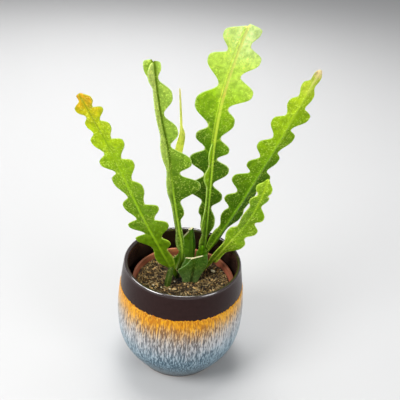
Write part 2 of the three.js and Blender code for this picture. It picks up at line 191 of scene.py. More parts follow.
CRUMBS = 2600
FIBRES = 900
PERLITE = [(37.5, 24.2, 6.8), (-8.5, 6.5, 2.6), (-33, -8, 3.2), (-23.5, -9.5, 2.8), (-13.5, -11.5, 3.2)]
# the hollow is painted dark as shade, on the soil and on the crumbs and fibres in it
HOLLOW = (-5, 6, 4.2, 2.5)  # a dark hollow among the stems: x, y, half width, depth
SOIL_LUMPS = [(9, 1.1), (4, 0.8), (1.8, 0.55)]  # width and height of lumps in the soil's own surface
ANY_WAY = (0, 6.28)  # a random turn, in radians

# What the fine stems add to those shapes.
ROW_STEP = 1.0
TIP_ROUNDING = 2.4
TIP_TURNS = (0, 25, 45, 60, 72, 81)  # the rings on a rounded tip, in degrees
CUT_RIM = 0.45  # from the last ring but one to a cut end
CALLUS = 1.0  # the width of the callus along a cut margin
STEM_CREASE = 50  # the sharpest edge that is shaded smooth, in degrees
RIDGE_WIDTH = 1.15  # a rib's ridge runs out on the wing at this many radii from the axis
RIDGE_STEPS = 5
WING_STEPS = 9
EDGE_STEPS = 3
VEIN_WIDTH = 1.4
VEIN_REACH = 24  # the farthest along the rib that a vein is from its notch
VEIN_SLANT = 0.9  # how far under its notch a vein leaves the rib, in widths of the wing there
# for painted shade, where a wing on the shaded side turns pale late up the stem
PAINTED_SHADE_LAG_WITHIN = 12  # a wing that turns pale late does so fully at this distance from the rib
FAR = 9.0  # well away from any margin
AREOLE = 1.3


# -------- small helpers

def lerp(a, b, t):
    return a + (b - a) * t


def clamp(x, low=0.0, high=1.0):
    return max(low, min(high, x))


def smooth(x, low, high):
    """0 below low, 1 above high, and a soft step between."""
    t = clamp((x - low) / (high - low))
    return t * t * (3 - 2 * t)


def linear(red, green, blue):
    """A colour given in 0 to 255 display values, as the shader's RGBA."""
    def channel(value):
        value /= 255
        return value / 12.92 if value <= 0.04045 else ((value + 0.055) / 1.055) ** 2.4
    return (channel(red), channel(green), channel(blue), 1.0)


def hermite(b, c, start, end, t):
    """A point on the curve from b to c that sets out along `start` and arrives along `end`."""
    bend = -3 * b + 3 * c - 2 * start - end + t * (2 * b - 2 * c + start + end)
    return b + t * (start + t * bend)


def mark(mesh, marks):
    """Give every vertex its numbers, under names that the materials read."""
    for key, values in marks.items():
        mesh.attributes.new(key, "FLOAT", "POINT").data.foreach_set("value", values)


def new_mesh_object(name, points, faces, marks):
    """A mesh object at the origin, from points in millimetres."""
    mesh = bpy.data.meshes.new(name)
    mesh.from_pydata([Vector(p) * MM for p in points], [], faces)
    mark(mesh, marks)
    mesh.validate()
    obj = bpy.data.objects.new(name, mesh)
    bpy.context.scene.collection.objects.link(obj)
    return obj


def shade_smooth(obj, degrees=None):
    """Smooth shading all over, or only across edges flatter than an angle."""
    bpy.ops.object.select_all(action="DESELECT")
    obj.select_set(True)
    bpy.context.view_layer.objects.active = obj
    if degrees is None:
        bpy.ops.object.shade_smooth()
    else:
        bpy.ops.object.shade_smooth_by_angle(angle=math.radians(degrees))


# -------- shader tools

class Nodes:
    """Adds nodes to a tree. An input is given as a value or as the socket that feeds it."""

    def __init__(self, tree):
        self.tree = tree

    def feed(self, node, inputs):
        for key, value in inputs.items():
            if isinstance(value, bpy.types.NodeSocket):
                self.tree.links.new(value, node.inputs[key])
            else:
                node.inputs[key].default_value = value

    def add(self, kind, inputs=None, **settings):
        node = self.tree.nodes.new("ShaderNode" + kind)
        for key, value in settings.items():
            setattr(node, key, value)
        self.feed(node, inputs or {})
        return node

    def math(self, operation, *values, use_clamp=False):
        inputs = dict(enumerate(values))
        return self.add("Math", inputs, operation=operation, use_clamp=use_clamp).outputs[0]

    def plus(self, a, b):
        return self.math("ADD", a, b)

    def times(self, a, b):
        return self.math("MULTIPLY", a, b)

    def swing(self, value, reach):
        """How far a value is from 0.5, times reach."""
        return self.times(self.math("SUBTRACT", value, 0.5), reach)

    def mix(self, factor, a, b, blend="MIX"):
        """A colour mixed from the colours a and b."""
        inputs = {"Factor": factor, 6: a, 7: b}
        return self.add("Mix", inputs, data_type="RGBA", blend_type=blend).outputs[2]

    def step(self, value, low, high, kind="SMOOTHSTEP"):
        """0 below low, 1 above high, and a soft step between."""
        inputs = {"Value": value, "From Min": low, "From Max": high}
        return self.add("MapRange", inputs, interpolation_type=kind).outputs[0]

    def ramp(self, value, stops):
        """A colour read from stops: each is a place, then red, green and blue in display values."""
        node = self.add("ValToRGB", {"Fac": value})
        elements = node.color_ramp.elements
        while len(elements) < len(stops):
            elements.new(0.5)
        for element, (place, *colour) in zip(elements, stops):
            element.position = place
            element.color = linear(*colour)
        return node.outputs[0]

    def attribute(self, name):
        return self.add("Attribute", attribute_name=name).outputs["Fac"]

    def place(self, scale=(1, 1, 1)):
        """The object's own coordinates, stretched by scale."""
        coordinates = self.add("TexCoord").outputs["Object"]
        return self.add("Mapping", {"Vector": coordinates, "Scale": scale}).outputs[0]

    def noise(self, place, size, detail, **more):
        inputs = {"Vector": place, "Scale": size, "Detail": detail, **more}
        return self.add("TexNoise", inputs).outputs[0]

    def mottle(self, place, size):
        """Soft patches: a value near 0.5 that wanders from place to place."""
        return self.add("Group", {"Vector": place, "Size": size}, node_tree=MOTTLE).outputs[0]

    def bump(self, height, strength, distance):
        """The normal of a surface with a fine relief."""
        inputs = {"Height": height, "Strength": strength, "Distance": distance}
        return self.add("Bump", inputs).outputs[0]


def group_of(name, inputs, output):
    """An empty shader node group: its tree, its nodes, its input sockets and where its output goes."""
    tree = bpy.data.node_groups.new(name, "ShaderNodeTree")
    for key, kind in inputs.items():
        tree.interface.new_socket(key, in_out="INPUT", socket_type="NodeSocket" + kind)
    tree.interface.new_socket(output, in_out="OUTPUT", socket_type="NodeSocketFloat")
    start = tree.nodes.new("NodeGroupInput")
    end = tree.nodes.new("NodeGroupOutput")
    return tree, Nodes(tree), start.outputs, end.inputs[output]


def new_material(name):
    """A material with its Principled shader, and its nodes."""
    material = bpy.data.materials.new(name)
    material.use_nodes = True
    shader = material.node_tree.nodes["Principled BSDF"]
    return material, Nodes(material.node_tree), shader


# -------- a stem's shape

class Rib:
    """A stem's rib: a centripetal Catmull-Rom curve that is read by its length in millimetres."""

    STEPS = 400

    def __init__(self, points, across):
        points = [Vector(p) for p in points]
        self.samples = [self.on_curve(points, i / self.STEPS) for i in range(self.STEPS + 1)]
        self.lengths = [0.0]
        for a, b in zip(self.samples, self.samples[1:]):
            self.lengths.append(self.lengths[-1] + (b - a).length)
        self.length = self.lengths[-1]
        self.width = Vector((math.cos(math.radians(across)), math.sin(math.radians(across)), 0))
        self.near = 0

    @staticmethod
    def on_curve(points, share):
        place = share * (len(points) - 1)
        i = min(int(place), len(points) - 2)
        b, c = points[i], points[i + 1]
        a = points[i - 1] if i > 0 else 2 * b - c
        d = points[i + 2] if i + 2 < len(points) else 2 * c - b
        before, span, after = (math.sqrt((q - p).length) for p, q in ((a, b), (b, c), (c, d)))
        start = ((b - a) / before - (c - a) / (before + span) + (c - b) / span) * span
        end = ((c - b) / span - (d - b) / (span + after) + (d - c) / after) * span
        return hermite(b, c, start, end, place - i)

    def point(self, s):
        while self.near > 0 and self.lengths[self.near] > s:
            self.near -= 1
        while self.near < self.STEPS - 1 and self.lengths[self.near + 1] < s:
            self.near += 1
        low, high = self.lengths[self.near], self.lengths[self.near + 1]
        return self.samples[self.near].lerp(self.samples[self.near + 1], (s - low) / (high - low))

    def at(self, s):
        """Where a section at that length lies, with the directions of its width and its front."""
        inside = clamp(s, 0, self.length)
        ahead = self.point(min(inside + 0.5, self.length))
        along = (ahead - self.point(max(inside - 0.5, 0))).normalized()
        width = (self.width - along * self.width.dot(along)).normalized()
        return self.point(inside) + along * (s - inside), width, width.cross(along)

    def beside(self, s, turn, distance, lift=0.0):
        """A point at that length, out from the rib at a turn in degrees, and lifted square to that."""
        origin, x, y = self.at(s)
        cos, sin = math.cos(math.radians(turn)), math.sin(math.radians(turn))
        return origin + x * (distance * cos - lift * sin) + y * (distance * sin + lift * cos)


def rib_radius(radii, s, length):
    """The rib's radius at the length s: it changes evenly up to LOW, and from there to the tip."""
    root, low, tip = radii
    swelling = LOW * length
    if s < swelling:
        return lerp(root, low, s / swelling)
    return lerp(low, tip, (s - swelling) / (length - swelling))


def margin(lobes, s):
    """A wing's margin at the length s: its own length, its distance out, the lobe's swell and its number."""
    following = next((i for i, lobe in enumerate(lobes) if lobe[0] > s), len(lobes))
    if following == 0:
        return s, 0, 0, 0
    if following == len(lobes):
        return s, lobes[-1][1], 0, following
    start, width, *tip = lobes[following - 1]
    end, end_width = lobes[following][:2]
    u = (s - start) / (end - start)
    if not tip:
        return s, lerp(width, end_width, u), 0, following
    swell = math.sin(math.pi * u)
    fullness = 1 - abs(math.cos(math.pi * u)) ** LOBE_FULLNESS
    most = LEAN * (end - start)
    lean = clamp(tip[0] - (start + end) / 2, -most, most)
    return s + lean * swell, lerp(lerp(width, end_width, u), tip[1], fullness), fullness, following


def vein_at(lobes, s, distance):
    """1 on a wing's side veins, which run out from the rib to each notch, and 0 away from them."""
    nearest = VEIN_WIDTH
    for start, width, *_ in lobes[1:]:
        if abs(s - start) > VEIN_REACH:
            continue
        foot = Vector((start - VEIN_SLANT * width, 0))
        run = Vector((start, width)) - foot
        offset = Vector((s, distance)) - foot
        share = clamp(offset.dot(run) / run.length_squared)
        nearest = min(nearest, (offset - run * share).length)
    return 1 - nearest / VEIN_WIDTH


def wing_root(radius, out):
    """How far from the rib's axis a wing's blade sets in."""
    return min(0.8 * radius, 0.6 * out)


def face_of_wing(out, radius, gap):
    """One face of a wing's section as (distance, half thickness) from beside the crest to the margin."""
    root = wing_root(radius, out)
    edge = min(FLESH_MARGIN, 0.25 * out)
    winged = smooth(out, radius, 1.5 * radius)
    room = math.tan(math.radians(min(80, gap / 2 - 4)))  # keeps clear of the next wing

    def half(distance):
        blade = lerp(FLESH_ROOT, FLESH_MARGIN, clamp((distance - root) / (out - root)))
        round_rib = math.sqrt(max(radius * radius - distance * distance, 0))
        return min(lerp(round_rib, blade, winged), 0.8 * radius, distance * room)

    foot = min(RIDGE_WIDTH * radius, 0.7 * out)
    crest_turn = math.radians(gap / 2)
    a = Vector((radius * math.cos(crest_turn), radius * math.sin(crest_turn)))
    d = Vector((foot, half(foot)))
    down = Vector((math.sin(crest_turn), -math.cos(crest_turn)))
    b = a + down * 0.55 * abs((d - a).dot(down))
    c = d - Vector((0.4 * (d - a).length, 0))
    points = []
    for i in range(1, RIDGE_STEPS):
        t = i / RIDGE_STEPS
        points.append(a * (1 - t) ** 3 + b * 3 * t * (1 - t) ** 2 + c * 3 * t * t * (1 - t) + d * t ** 3)
    for i in range(WING_STEPS + 1):
        distance = lerp(foot, out - edge, i / WING_STEPS)
        points.append(Vector((distance, half(distance))))
    for i in range(1, EDGE_STEPS):
        turn = 0.5 * math.pi * i / EDGE_STEPS
        points.append(Vector((out - edge + edge * math.sin(turn), half(out - edge) * math.cos(turn))))
    return points


def rings_of(rib, cut):
    """The lengths at which a stem has its rings of points."""
    rings = [ROW_STEP * i for i in range(int(rib.length / ROW_STEP))]
    if cut:
        return rings + [rib.length - CUT_RIM, rib.length]
    rings = [s for s in rings if s < rib.length - TIP_ROUNDING]
    return rings + [rib.length - TIP_ROUNDING * (1 - math.sin(math.radians(a))) for a in TIP_TURNS]


def stem(name, rib, radius, wings, across=0, wave=0, cut=None, own=None, late=None):
    """A ribbed stem: rings of points from its root to its tip, out and back along each wing."""
    rib = Rib(rib, across)
    wings = sorted(wings)
    rows = rings_of(rib, cut)
    points = []
    marks = {key: [] for key in ("along", "from_rib", "from_edge", "vein", "own", "cut")}

    def put(point, **numbers):
        points.append(point)
        for key, values in marks.items():
            values.append(float(numbers.get(key, 0)))

    for s in rows:
        above = clamp((s - rib.length + TIP_ROUNDING) / TIP_ROUNDING)
        closing = 1 if cut else math.sqrt(1 - above * above)
        thick = rib_radius(radius, s, rib.length) * closing
        ended = cut is not None and s == rib.length
        for w, (turn, lobes) in enumerate(wings):
            following = (wings[(w + 1) % len(wings)][0] - turn) % 360
            previous = (turn - wings[w - 1][0]) % 360
            # painted shade: a wing on the shaded side turns pale farther up the stem
            painted_shade_lag = (late or {}).get(turn, 0.0)
            along, reach, fullness, lobe = margin(lobes, s)
            out = max(reach * closing, thick)
            root = wing_root(thick, out)
            cup = wave * math.sin(WAVE_TURN * lobe + turn) * fullness
            callus = CALLUS if cut and turn == cut[0] and s > cut[1] else 0
            section = [(distance, -half) for distance, half in face_of_wing(out, thick, previous)]
            section += [(out, 0), *reversed(face_of_wing(out, thick, following))]
            for distance, lift in section:
                share = clamp((distance - root) / (out - root)) ** 2
                length = lerp(s, along, share)
                put(rib.beside(length, turn, distance, lift + cup * share),
                    along=length / rib.length - painted_shade_lag * smooth(distance, 0, PAINTED_SHADE_LAG_WITHIN),
                    from_rib=distance,
                    from_edge=out - distance,
                    vein=vein_at(lobes, length, distance) if distance > thick else 0,
                    own=smooth(distance, thick, 2 * thick) if turn == own else 0,
                    cut=ended or out - distance < callus)
            put(rib.beside(s, turn + following / 2, thick),
                along=s / rib.length - painted_shade_lag * smooth(thick, 0, PAINTED_SHADE_LAG_WITHIN),
                from_edge=out - thick,
                cut=ended or out - thick < callus)

    ring = len(points) // len(rows)
    faces = []
    for row in range(len(rows) - 1):
        for i in range(ring):
            a, b = row * ring + i, row * ring + (i + 1) % ring
            faces.append((a, a + ring, b + ring, b))
    for row, s in ((0, rows[0]), (len(rows) - 1, rib.length)):
        centre = len(points)
        put(rib.at(s)[0], along=s / rib.length, from_edge=FAR, cut=bool(cut and row))
        for i in range(ring):
            a, b = row * ring + i, row * ring + (i + 1) % ring
            faces.append((centre, b, a) if row else (centre, a, b))
    obj = new_mesh_object(name, points, faces, marks)
    shade_smooth(obj, STEM_CREASE)
    return obj


# -------- pots, soil and what lies on it

def turned(name, profile, sides, x=0.0):
    """A body of revolution, drawn up ring by ring from (radius, height) points, with flat ends."""
    radius, height = profile[0]
    bpy.ops.mesh.primitive_circle_add(
        vertices=sides, radius=radius * MM, fill_type="NGON", location=(x * MM, 0, height * MM)
    )
    obj = bpy.context.object
    obj.name = name
    bpy.ops.object.mode_set(mode="EDIT")
    bpy.ops.mesh.select_all(action="SELECT")
    for next_radius, next_height in profile[1:]:
        rise = {"value": (0, 0, (next_height - height) * MM)}
        bpy.ops.mesh.extrude_region_move(TRANSFORM_OT_translate=rise)
        bpy.ops.transform.resize(value=(next_radius / radius, next_radius / radius, 1))
        radius, height = next_radius, next_height
    bpy.ops.mesh.select_all(action="SELECT")
    bpy.ops.mesh.normals_make_consistent()
    bpy.ops.object.mode_set(mode="OBJECT")
    bpy.ops.object.transform_apply()
    return obj


def arc(centre, radii, start, end, steps):
    """(radius, height) points on an elliptical arc, with its ends, by angles in degrees."""
    turns = [math.radians(lerp(start, end, i / steps)) for i in range(steps + 1)]
    return [(centre[0] + radii[0] * math.cos(t), centre[1] + radii[1] * math.sin(t)) for t in turns]


def through(points, steps):
    """Points on a smooth line through some points: a uniform Catmull-Rom curve."""
    line = []
    for i in range(len(points) - 1):
        a, b, c, d = (Vector(points[clamp(j, 0, len(points) - 1)]) for j in range(i - 1, i + 3))
        line += [hermite(b, c, (c - a) / 2, (d - b) / 2, step / steps) for step in range(steps)]
    return [(r, z) for r, z in line] + [points[-1]]


POT_OUTLINE = through(POT_OUTSIDE, 12)


def pot_radius(height):
    """The ceramic pot's outer radius, glazed all the way up."""
    for (r1, z1), (r2, z2) in zip(POT_OUTLINE, POT_OUTLINE[1:]):
        if z1 <= height <= z2:
            return lerp(r1, r2, (height - z1) / (z2 - z1))
    return POT_OUTLINE[-1][0]


def along_wall(heights, inward=0.0):
    """(radius, height) points that follow the ceramic pot's outside at those heights."""
    return [(pot_radius(z) - inward, z) for z in heights]


def ceramic_pot():
    """The glazed pot: a thick wall with a round lip, and a glaze edge that wanders a little."""
    foot, lip = POT_OUTSIDE[0][0], POT_OUTSIDE[-1][0]
    heel = arc((foot - POT_EDGE, POT_EDGE), (POT_EDGE, POT_EDGE), -90, 0, 4)
    glazed = [(r, z) for r, z in POT_OUTLINE if POT_EDGE < z < GLAZE_LINE - 4]
    drip = along_wall((GLAZE_LINE - 2.5, GLAZE_LINE - 1.2))
    bead_centre = (pot_radius(GLAZE_LINE) - GLAZE_STEP, GLAZE_LINE - GLAZE_STEP)
    bead = arc(bead_centre, (GLAZE_STEP, GLAZE_STEP), 0, 90, 4)
    bare = along_wall((112, 114, 117, 121, 125, 129, 132, 134), GLAZE_STEP)
    half_wall = POT_WALL / 2
    lip_centre = (lip - half_wall, POT_HEIGHT - POT_LIP_RISE)
    crown = arc(lip_centre, (half_wall - GLAZE_STEP, POT_LIP_RISE), 0, 90, 6)
    inner_crown = arc(lip_centre, (half_wall, POT_LIP_RISE), 100, 180, 6)
    inside = along_wall((132, 125, 118, 111, 104, 96, 88, 80, 70, 60, 50, 40, 30, 22, 16), POT_WALL)
    corner = (8, 6)
    floor = arc((foot - corner[0], POT_FLOOR + corner[1]), corner, 0, -90, 5)
    pot = turned("ceramic_pot_glazed", [
        (6, 0), (foot - 5, 0), *heel, *glazed, *drip, *bead, *bare,
        *crown, *inner_crown, *inside, *floor, (6, POT_FLOOR),
    ], POT_SIDES)
    marks = {"glazed": [], "inside": []}
    for vertex in pot.data.vertices:
        x, y, z = vertex.co / MM
        depth = pot_radius(z) - math.hypot(x, y)
        outer = depth < POT_WALL / 4
        marks["glazed"].append(1.0 if outer and z < GLAZE_LINE + GLAZE_STEP / 2 else 0.0)
        marks["inside"].append(smooth(depth, 0.75 * POT_WALL, 0.95 * POT_WALL) if z > 1 else 0.0)
        if outer:  # the glaze edge's rings wander, and the others follow less with their distance
            near = 1 - smooth(abs(z - GLAZE_LINE), 1, 5)
            around = Vector((x, y, 0)).normalized()
            slow, quick = noise.noise(around * 9), noise.noise(around * 30 + Vector((3, 1, 7)))
            vertex.co.z += near * (0.8 * slow + 2.2 * quick - 1.4) * MM
    mark(pot.data, marks)
    shade_smooth(pot)
    return pot


def nursery_pot():
    """The thin plastic pot, with a stepped collar and a rounded rim."""
    bottom = POT_FLOOR + NURSERY_GAP
    top = bottom + NURSERY_HEIGHT
    ledge = top - NURSERY_COLLAR
    foot, shoulder = NURSERY_BASE, NURSERY_RIM - NURSERY_COLLAR_PROUD
    inner = shoulder - NURSERY_WALL
    outer_round, inner_round = 0.9, 0.6
    rim = arc((NURSERY_RIM - outer_round, top - outer_round), (outer_round, outer_round), 0, 90, 4)
    inner_rim = arc((inner + inner_round, top - inner_round), (inner_round, inner_round), 90, 180, 3)
    pot = turned("nursery_pot_moulded", [
        (4, bottom + 2), (foot - 5, bottom + 2), (foot - 4, bottom),
        (foot - 0.6, bottom), (foot, bottom + 0.6), (shoulder - 0.9, ledge - 0.4), (shoulder - 0.6, ledge),
        (NURSERY_RIM - 0.9, ledge + 0.3), (NURSERY_RIM - 0.2, ledge + 0.9), *rim, *inner_rim,
        (inner, ledge + 1.2), (inner - 0.7, ledge), (inner - 1.0, ledge - 2),
        (foot - NURSERY_WALL, bottom + 3.6), (4, bottom + 3.4),
    ], NURSERY_SIDES, x=NURSERY_X)
    shade_smooth(pot, NURSERY_CREASE)
    return pot


def hollow(x, y):
    """1 in the middle of the soil's hollow, which is painted dark with shade, and 0 away from it."""
    middle_x, middle_y, half_width, _ = HOLLOW
    return math.exp(-((x - middle_x) ** 2 + (y - middle_y) ** 2) / (2 * half_width ** 2))


def shade_of(draw, x, y):
    """A crumb's tint: patchy, paler towards the front, and painted dark with shade in the hollow."""
    patch = 0.55 * noise.noise(Vector((x / 7, y / 7, 5)))
    return clamp(draw.random() + patch + 0.2 * smooth(-y - 0.4 * x, 0, 35)) * (1 - clamp(2 * hollow(x, y)))


def soil_height(x, y):
    """The soil's surface over its own axis: low waves, heaped up to the pot's wall, with lumps on them."""
    out = math.hypot(x, y)
    inner = clamp(4 * (1 - out / SOIL_RADIUS))
    heaped = smooth(out, SOIL_RADIUS - 15, SOIL_RADIUS - 1) * (2.4 + 1.8 * smooth(-x, 0, 50))
    waves = (math.sin(0.21 * x + 1) * math.cos(0.17 * y) + 0.6 * math.sin(0.43 * x - 0.37 * y)
             + 0.4 * math.cos(0.61 * y + 0.3 * x + 2))
    lumps = sum(high * noise.noise(Vector((x / wide, y / wide, wide))) for wide, high in SOIL_LUMPS)
    return SOIL_TOP + 1.5 * waves * inner + heaped + lumps - HOLLOW[3] * hollow(x + NURSERY_X, y)


def soil_lump():
    """The soil, with a rough surface."""
    bottom = POT_FLOOR + NURSERY_GAP + NURSERY_WALL + NURSERY_GAP
    top_rings = [(SOIL_RADIUS * (1 - i / SOIL_RINGS), SOIL_TOP) for i in range(SOIL_RINGS)]
    lump = turned("soil_surface", [(4, bottom + 4), (40, bottom + 4), *top_rings], SOIL_SIDES)
    tints = []
    for vertex in lump.data.vertices:
        x, y, z = vertex.co / MM
        if z > SOIL_TOP - 1:
            vertex.co.z = soil_height(x, y) * MM
        vertex.co.x += NURSERY_X * MM
        # painted shade: the soil's tint darkens in the hollow
        tints.append(0.35 * (1 - clamp(2 * hollow(x + NURSERY_X, y))))
    mark(lump.data, {"tint": tints})
    shade_smooth(lump)
    return lump


def crumb(worn=False):
    """A lump about 1 mm across that crumbs or chips are copied from, with or without worn corners."""
    bpy.ops.mesh.primitive_ico_sphere_add(subdivisions=1, radius=0.5 * MM)
    obj = bpy.context.object
    bpy.ops.object.mode_set(mode="EDIT")
    bpy.ops.transform.vertex_random(offset=0.12 * MM, seed=4)
    if worn:
        bpy.ops.mesh.bevel(offset=0.06 * MM, segments=1, affect="VERTICES")
    bpy.ops.object.mode_set(mode="OBJECT")
    return obj


def fibre():
    """One coir fibre 1 mm long along X, slightly bowed, that every fibre is copied from."""
    lengthwise = (0, math.radians(90), 0)
    bpy.ops.mesh.primitive_cylinder_add(vertices=4, radius=0.5 * MM, depth=MM, rotation=lengthwise)
    obj = bpy.context.object
    bpy.ops.object.transform_apply()
    bpy.ops.object.mode_set(mode="EDIT")
    for x in (-0.3, -0.1, 0.1, 0.3):
        bpy.ops.mesh.select_all(action="SELECT")
        bpy.ops.mesh.bisect(plane_co=(x * MM, 0, 0), plane_no=(1, 0, 0))
    bpy.ops.object.mode_set(mode="OBJECT")
    for vertex in obj.data.vertices:
        share = vertex.co.x / MM
        thinned = 1 - 1.2 * share * share
        vertex.co.y *= thinned
        vertex.co.z *= thinned
        vertex.co.y += (0.25 - share * share) * 0.35 * MM
    return obj


def strewn(name, pattern, places):
    """Copies of a pattern, joined in one piece: places are (matrix, tint) pairs."""
    corners = [v.co.copy() for v in pattern.data.vertices]
    sides = [tuple(f.vertices) for f in pattern.data.polygons]
    points, faces, tints = [], [], []
    for matrix, tint in places:
        first = len(points)
        points += [matrix @ corner / MM for corner in corners]
        faces += [tuple(first + i for i in side) for side in sides]
        tints += [tint] * len(corners)
    bpy.data.objects.remove(pattern)
    return new_mesh_object(name, points, faces, {"tint": tints})


def lying(x, y, lift, size, spin, tilt=0.0):
    """The matrix of something that lies on the soil at x and y, in millimetres."""
    z = soil_height(x - NURSERY_X, y) + lift
    turn = Matrix.Rotation(spin, 4, "Z") @ Matrix.Rotation(tilt, 4, "Y")
    return Matrix.Translation(Vector((x, y, z)) * MM) @ turn @ Matrix.Diagonal((*size, 1))


def on_soil(draw, spread=1.0):
    """A random place on the soil, a little inside its edge."""
    distance = (SOIL_RADIUS - 1.5) * math.sqrt(draw.random()) ** spread
    bearing = draw.uniform(0, 2 * math.pi)
    return NURSERY_X + distance * math.cos(bearing), distance * math.sin(bearing)


def soil_crumbs():
    draw = random.Random(21)
    places = []
    for _ in range(CRUMBS):
        x, y = on_soil(draw)
        size = draw.uniform(0.7, 1.6) * (2.2 if draw.random() < 0.16 else 1)
        shape = tuple(size * draw.uniform(*span) for span in ((0.8, 1.5), (0.7, 1.2), (0.5, 0.9)))
        spin, tilt = draw.uniform(*ANY_WAY), draw.uniform(-0.6, 0.6)
        places.append((lying(x, y, 0.1 * size, shape, spin, tilt), shade_of(draw, x, y)))
    return strewn("soil_crumbs", crumb(), places)


def soil_fibres():
    draw = random.Random(8)
    places = []
    for _ in range(FIBRES):
        x, y = on_soil(draw, 0.9)
        length = draw.uniform(3, 9) * (1.6 if draw.random() < 0.25 else 1)
        thick = draw.uniform(0.14, 0.36)
        spin, tilt, lift = draw.uniform(*ANY_WAY), draw.uniform(-0.25, 0.25), draw.uniform(0.1, 0.9)
        places.append((lying(x, y, lift, (length, thick * 1.6, thick), spin, tilt), shade_of(draw, x, y)))
    return strewn("soil_fibres", fibre(), places)


def perlite():
    places = []
    for x, y, size in PERLITE:
        across = 0.6 * size
        places.append((lying(x, y, across, (size, across, across), -0.5), 0.5))
    return strewn("perlite", crumb(worn=True), places)


def areoles():
    """The small woolly cushions in the notches of the stems."""
    bpy.ops.mesh.primitive_uv_sphere_add(segments=10, ring_count=6, radius=0.5 * MM)
    cushion = bpy.context.object
    places = []
    for spec in STEMS.values():
        rib = Rib(spec["rib"], spec.get("across", 0))
        for turn, lobes in spec["wings"]:
            for start, width, *tip in lobes[1:-1]:
                if not tip or tip[1] < 7 or start < 36:
                    continue
                spot = Matrix.Translation(rib.beside(start, turn, width - 0.1) * MM)
                places.append((spot @ Matrix.Diagonal((AREOLE, AREOLE, AREOLE, 1)), 0.5))
    wool = strewn("areoles", cushion, places)
    shade_smooth(wool)
    return wool


# -------- shared effects

def build_mottle():
    """Soft patches: a value near 0.5 that wanders from place to place."""
    tree, n, start, end = group_of("mottle", {"Vector": "Vector", "Size": "Float"}, "Value")
    tree.links.new(n.noise(start["Vector"], start["Size"], 3.0, Roughness=0.55), end)
    return tree


def build_specks():
    """Small uneven specks for painted glints, crowded in some places and rare in others."""
    inputs = {"Vector": "Vector", "Size": "Float", "Level": "Float"}
    tree, n, start, end = group_of("specks", inputs, "Mask")
    grains = n.noise(start["Vector"], start["Size"], 1.0)
    crowds = n.noise(start["Vector"], 90.0, 1.0)
    above = n.math("SUBTRACT", grains, n.plus(start["Level"], n.swing(crowds, -0.3)))
    tree.links.new(n.math("MULTIPLY", above, 14.0, use_clamp=True), end)
    return tree


MOTTLE = build_mottle()
GLINT_SPECKS = build_specks()


# -------- materials

def stem_skin(
    name, skin, rib, rib_width, edge, speckle=0.5, speckled=(0.05, 0.2), own=None, groove=None
):
    """A stem's skin: its colour up the stem, a bright rib, side veins, a thin pale margin and specks.

    `speckled` is where the specks set in, as shares of the stem's length: the specks are painted highlights,
    glints on wet bumps. `groove` is where the rib's dark groove sets in, its half width and its depth: it is
    painted shade of a groove that the mesh does not have. The skin is also made lighter and darker with its
    puckers, as painted light and shade.
    """
    material, n, shader = new_material(name + "_skin")
    here = n.place()
    along = n.attribute("along")
    from_rib = n.attribute("from_rib")
    patches, pucker, fine = (n.mottle(here, size) for size in (60.0, 190.0, 420.0))
    wander = n.plus(along, n.swing(patches, 0.1))
    rib_colour = n.ramp(along, rib)
    colour = n.ramp(wander, skin)
    rough = n.plus(0.36, n.times(fine, 0.2))
    if own:
        # the wing with colours of its own: a paler copy where it is painted lit, a darker one where it is
        # painted shaded
        on_painted_light_shade_wing = n.attribute("own")
        colour = n.mix(on_painted_light_shade_wing, colour, n.ramp(wander, own))
        rough = n.plus(rough, n.times(on_painted_light_shade_wing, 0.4))
    # painted light and shade: the skin is made lighter and darker with the same noise that raises its puckers
    shade = n.mix(n.step(pucker, 0.34, 0.66, "LINEAR"), (0.72, 0.77, 0.64, 1), (1.26, 1.2, 1.26, 1))
    colour = n.mix(1.0, colour, shade, "MULTIPLY")
    colour = n.mix(n.times(n.attribute("vein"), 0.3), colour, rib_colour)
    ridge = n.step(from_rib, rib_width + 0.9, rib_width - 0.5)
    colour = n.mix(n.times(ridge, 0.9), colour, rib_colour)
    # painted shade: a dark line down the rib for a groove that the mesh does not have
    if groove:
        low, high, half_width, depth = groove
        line = n.times(n.step(from_rib, half_width, 0.1), n.step(along, low, high))
        colour = n.mix(n.times(line, depth), colour, linear(56, 88, 10))
    rim = n.times(n.step(n.attribute("from_edge"), 1.5, 0.4), n.step(from_rib, 3.2, 5.0))
    colour = n.mix(n.times(rim, 0.6), colour, linear(*edge))
    # painted highlights: the specks add a pale yellow-green for glints on wet bumps of the skin
    glint_dots = n.add("Group", {"Vector": here, "Size": 560.0, "Level": 0.58}, node_tree=GLINT_SPECKS).outputs[0]
    glint_dots = n.times(glint_dots, n.step(along, *speckled))
    colour = n.mix(n.times(glint_dots, speckle), colour, linear(150, 156, 74), "ADD")
    callus = n.mix(fine, linear(205, 200, 140), linear(240, 236, 196))
    callused = n.times(n.attribute("cut"), n.step(from_rib, 13.0, 10.5))
    relief = n.plus(pucker, n.times(n.plus(fine, glint_dots), 0.3))
    n.feed(shader, {
        "Base Color": n.mix(callused, colour, callus),
        "Roughness": rough,
        "Specular IOR Level": 0.13,
        "Subsurface Weight": 0.06,
        "Subsurface Scale": 0.003,
        "Normal": n.bump(relief, 0.7, 0.0022),
    })
    return material


